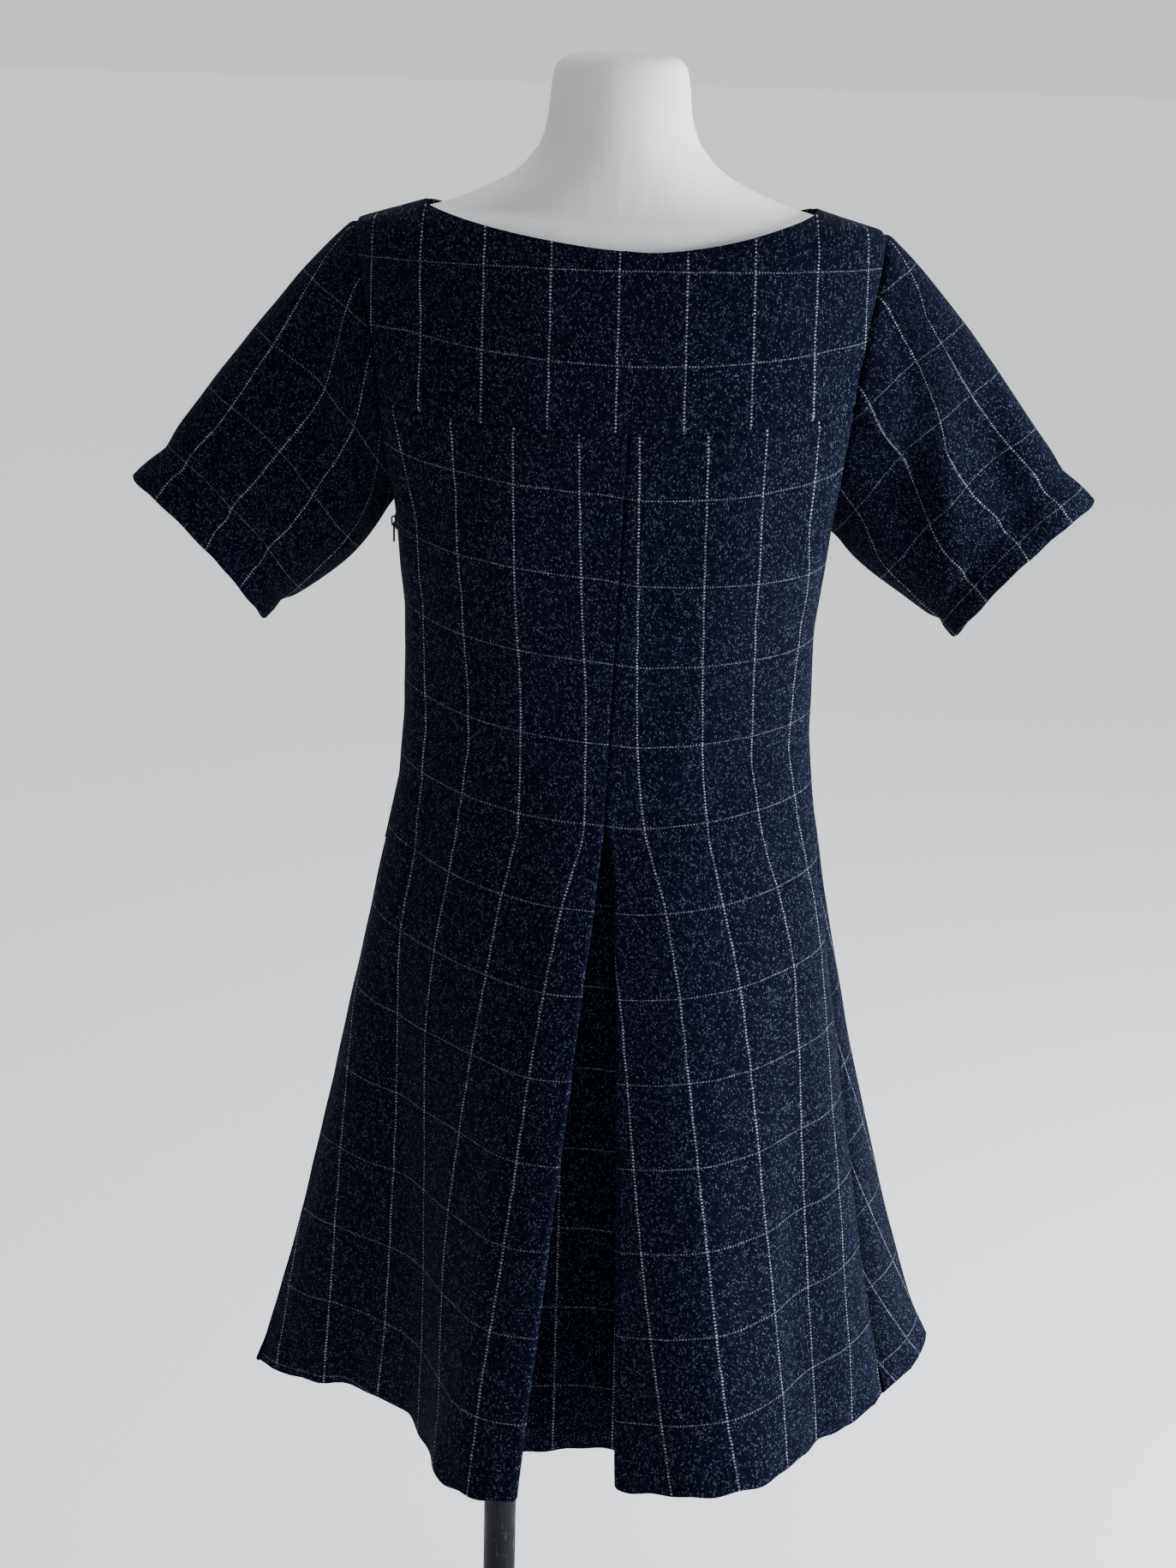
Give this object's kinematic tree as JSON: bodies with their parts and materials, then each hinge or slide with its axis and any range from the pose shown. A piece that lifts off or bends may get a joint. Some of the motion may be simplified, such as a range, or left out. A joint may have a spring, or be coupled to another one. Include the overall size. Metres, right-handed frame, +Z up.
{
  "type": "empire waist dress on a limbless dress form with pole stand",
  "caption": "Dark windowpane-check tweed dress with a curved back yoke, deep inverted box pleat and set-in short sleeves, worn by a white limbless dress form on a pole stand",
  "frame": {"origin": "centre of the base's underside, on the floor", "axes": "+Z up along the pole, +X towards the wearer's left, where the zip is, +Y towards the back of the dress, which the picture shows"},
  "size_m": [0.7034, 0.4061, 1.461],
  "materials": {
    "body_wool": "navy-black tweed with pale flecks and a thin windowpane check",
    "zip_tape": "black tape and closed chain",
    "zip_metal": "black enamel",
    "form_cover": "matte off-white cover",
    "stand_paint": "black paint, scuffed"
  },
  "bodies": {
    "dress_and_stand": {"back_panel": "body_wool", "back_yoke": "body_wool", "front_bodice": "body_wool", "front_skirt": "body_wool", "left_sleeve": "body_wool", "right_sleeve": "body_wool", "side_zip": "zip_tape", "zip_slider": "zip_metal", "dress_form": "form_cover", "stand_pole": "stand_paint", "stand_flange": "stand_paint", "stand_foot": "stand_paint", "stand_base": "stand_paint"},
    "pull_tab": {"zip_pull_tab": "zip_metal"}
  },
  "joints": [
    {"name": "pull_tab_hinge", "type": "hinge", "parent": "dress_and_stand", "child": "pull_tab", "pos_m": [0.16089, 0, 1.1242], "axis": [0, 1, 0], "range_deg": [-50, 0]}
  ]
}
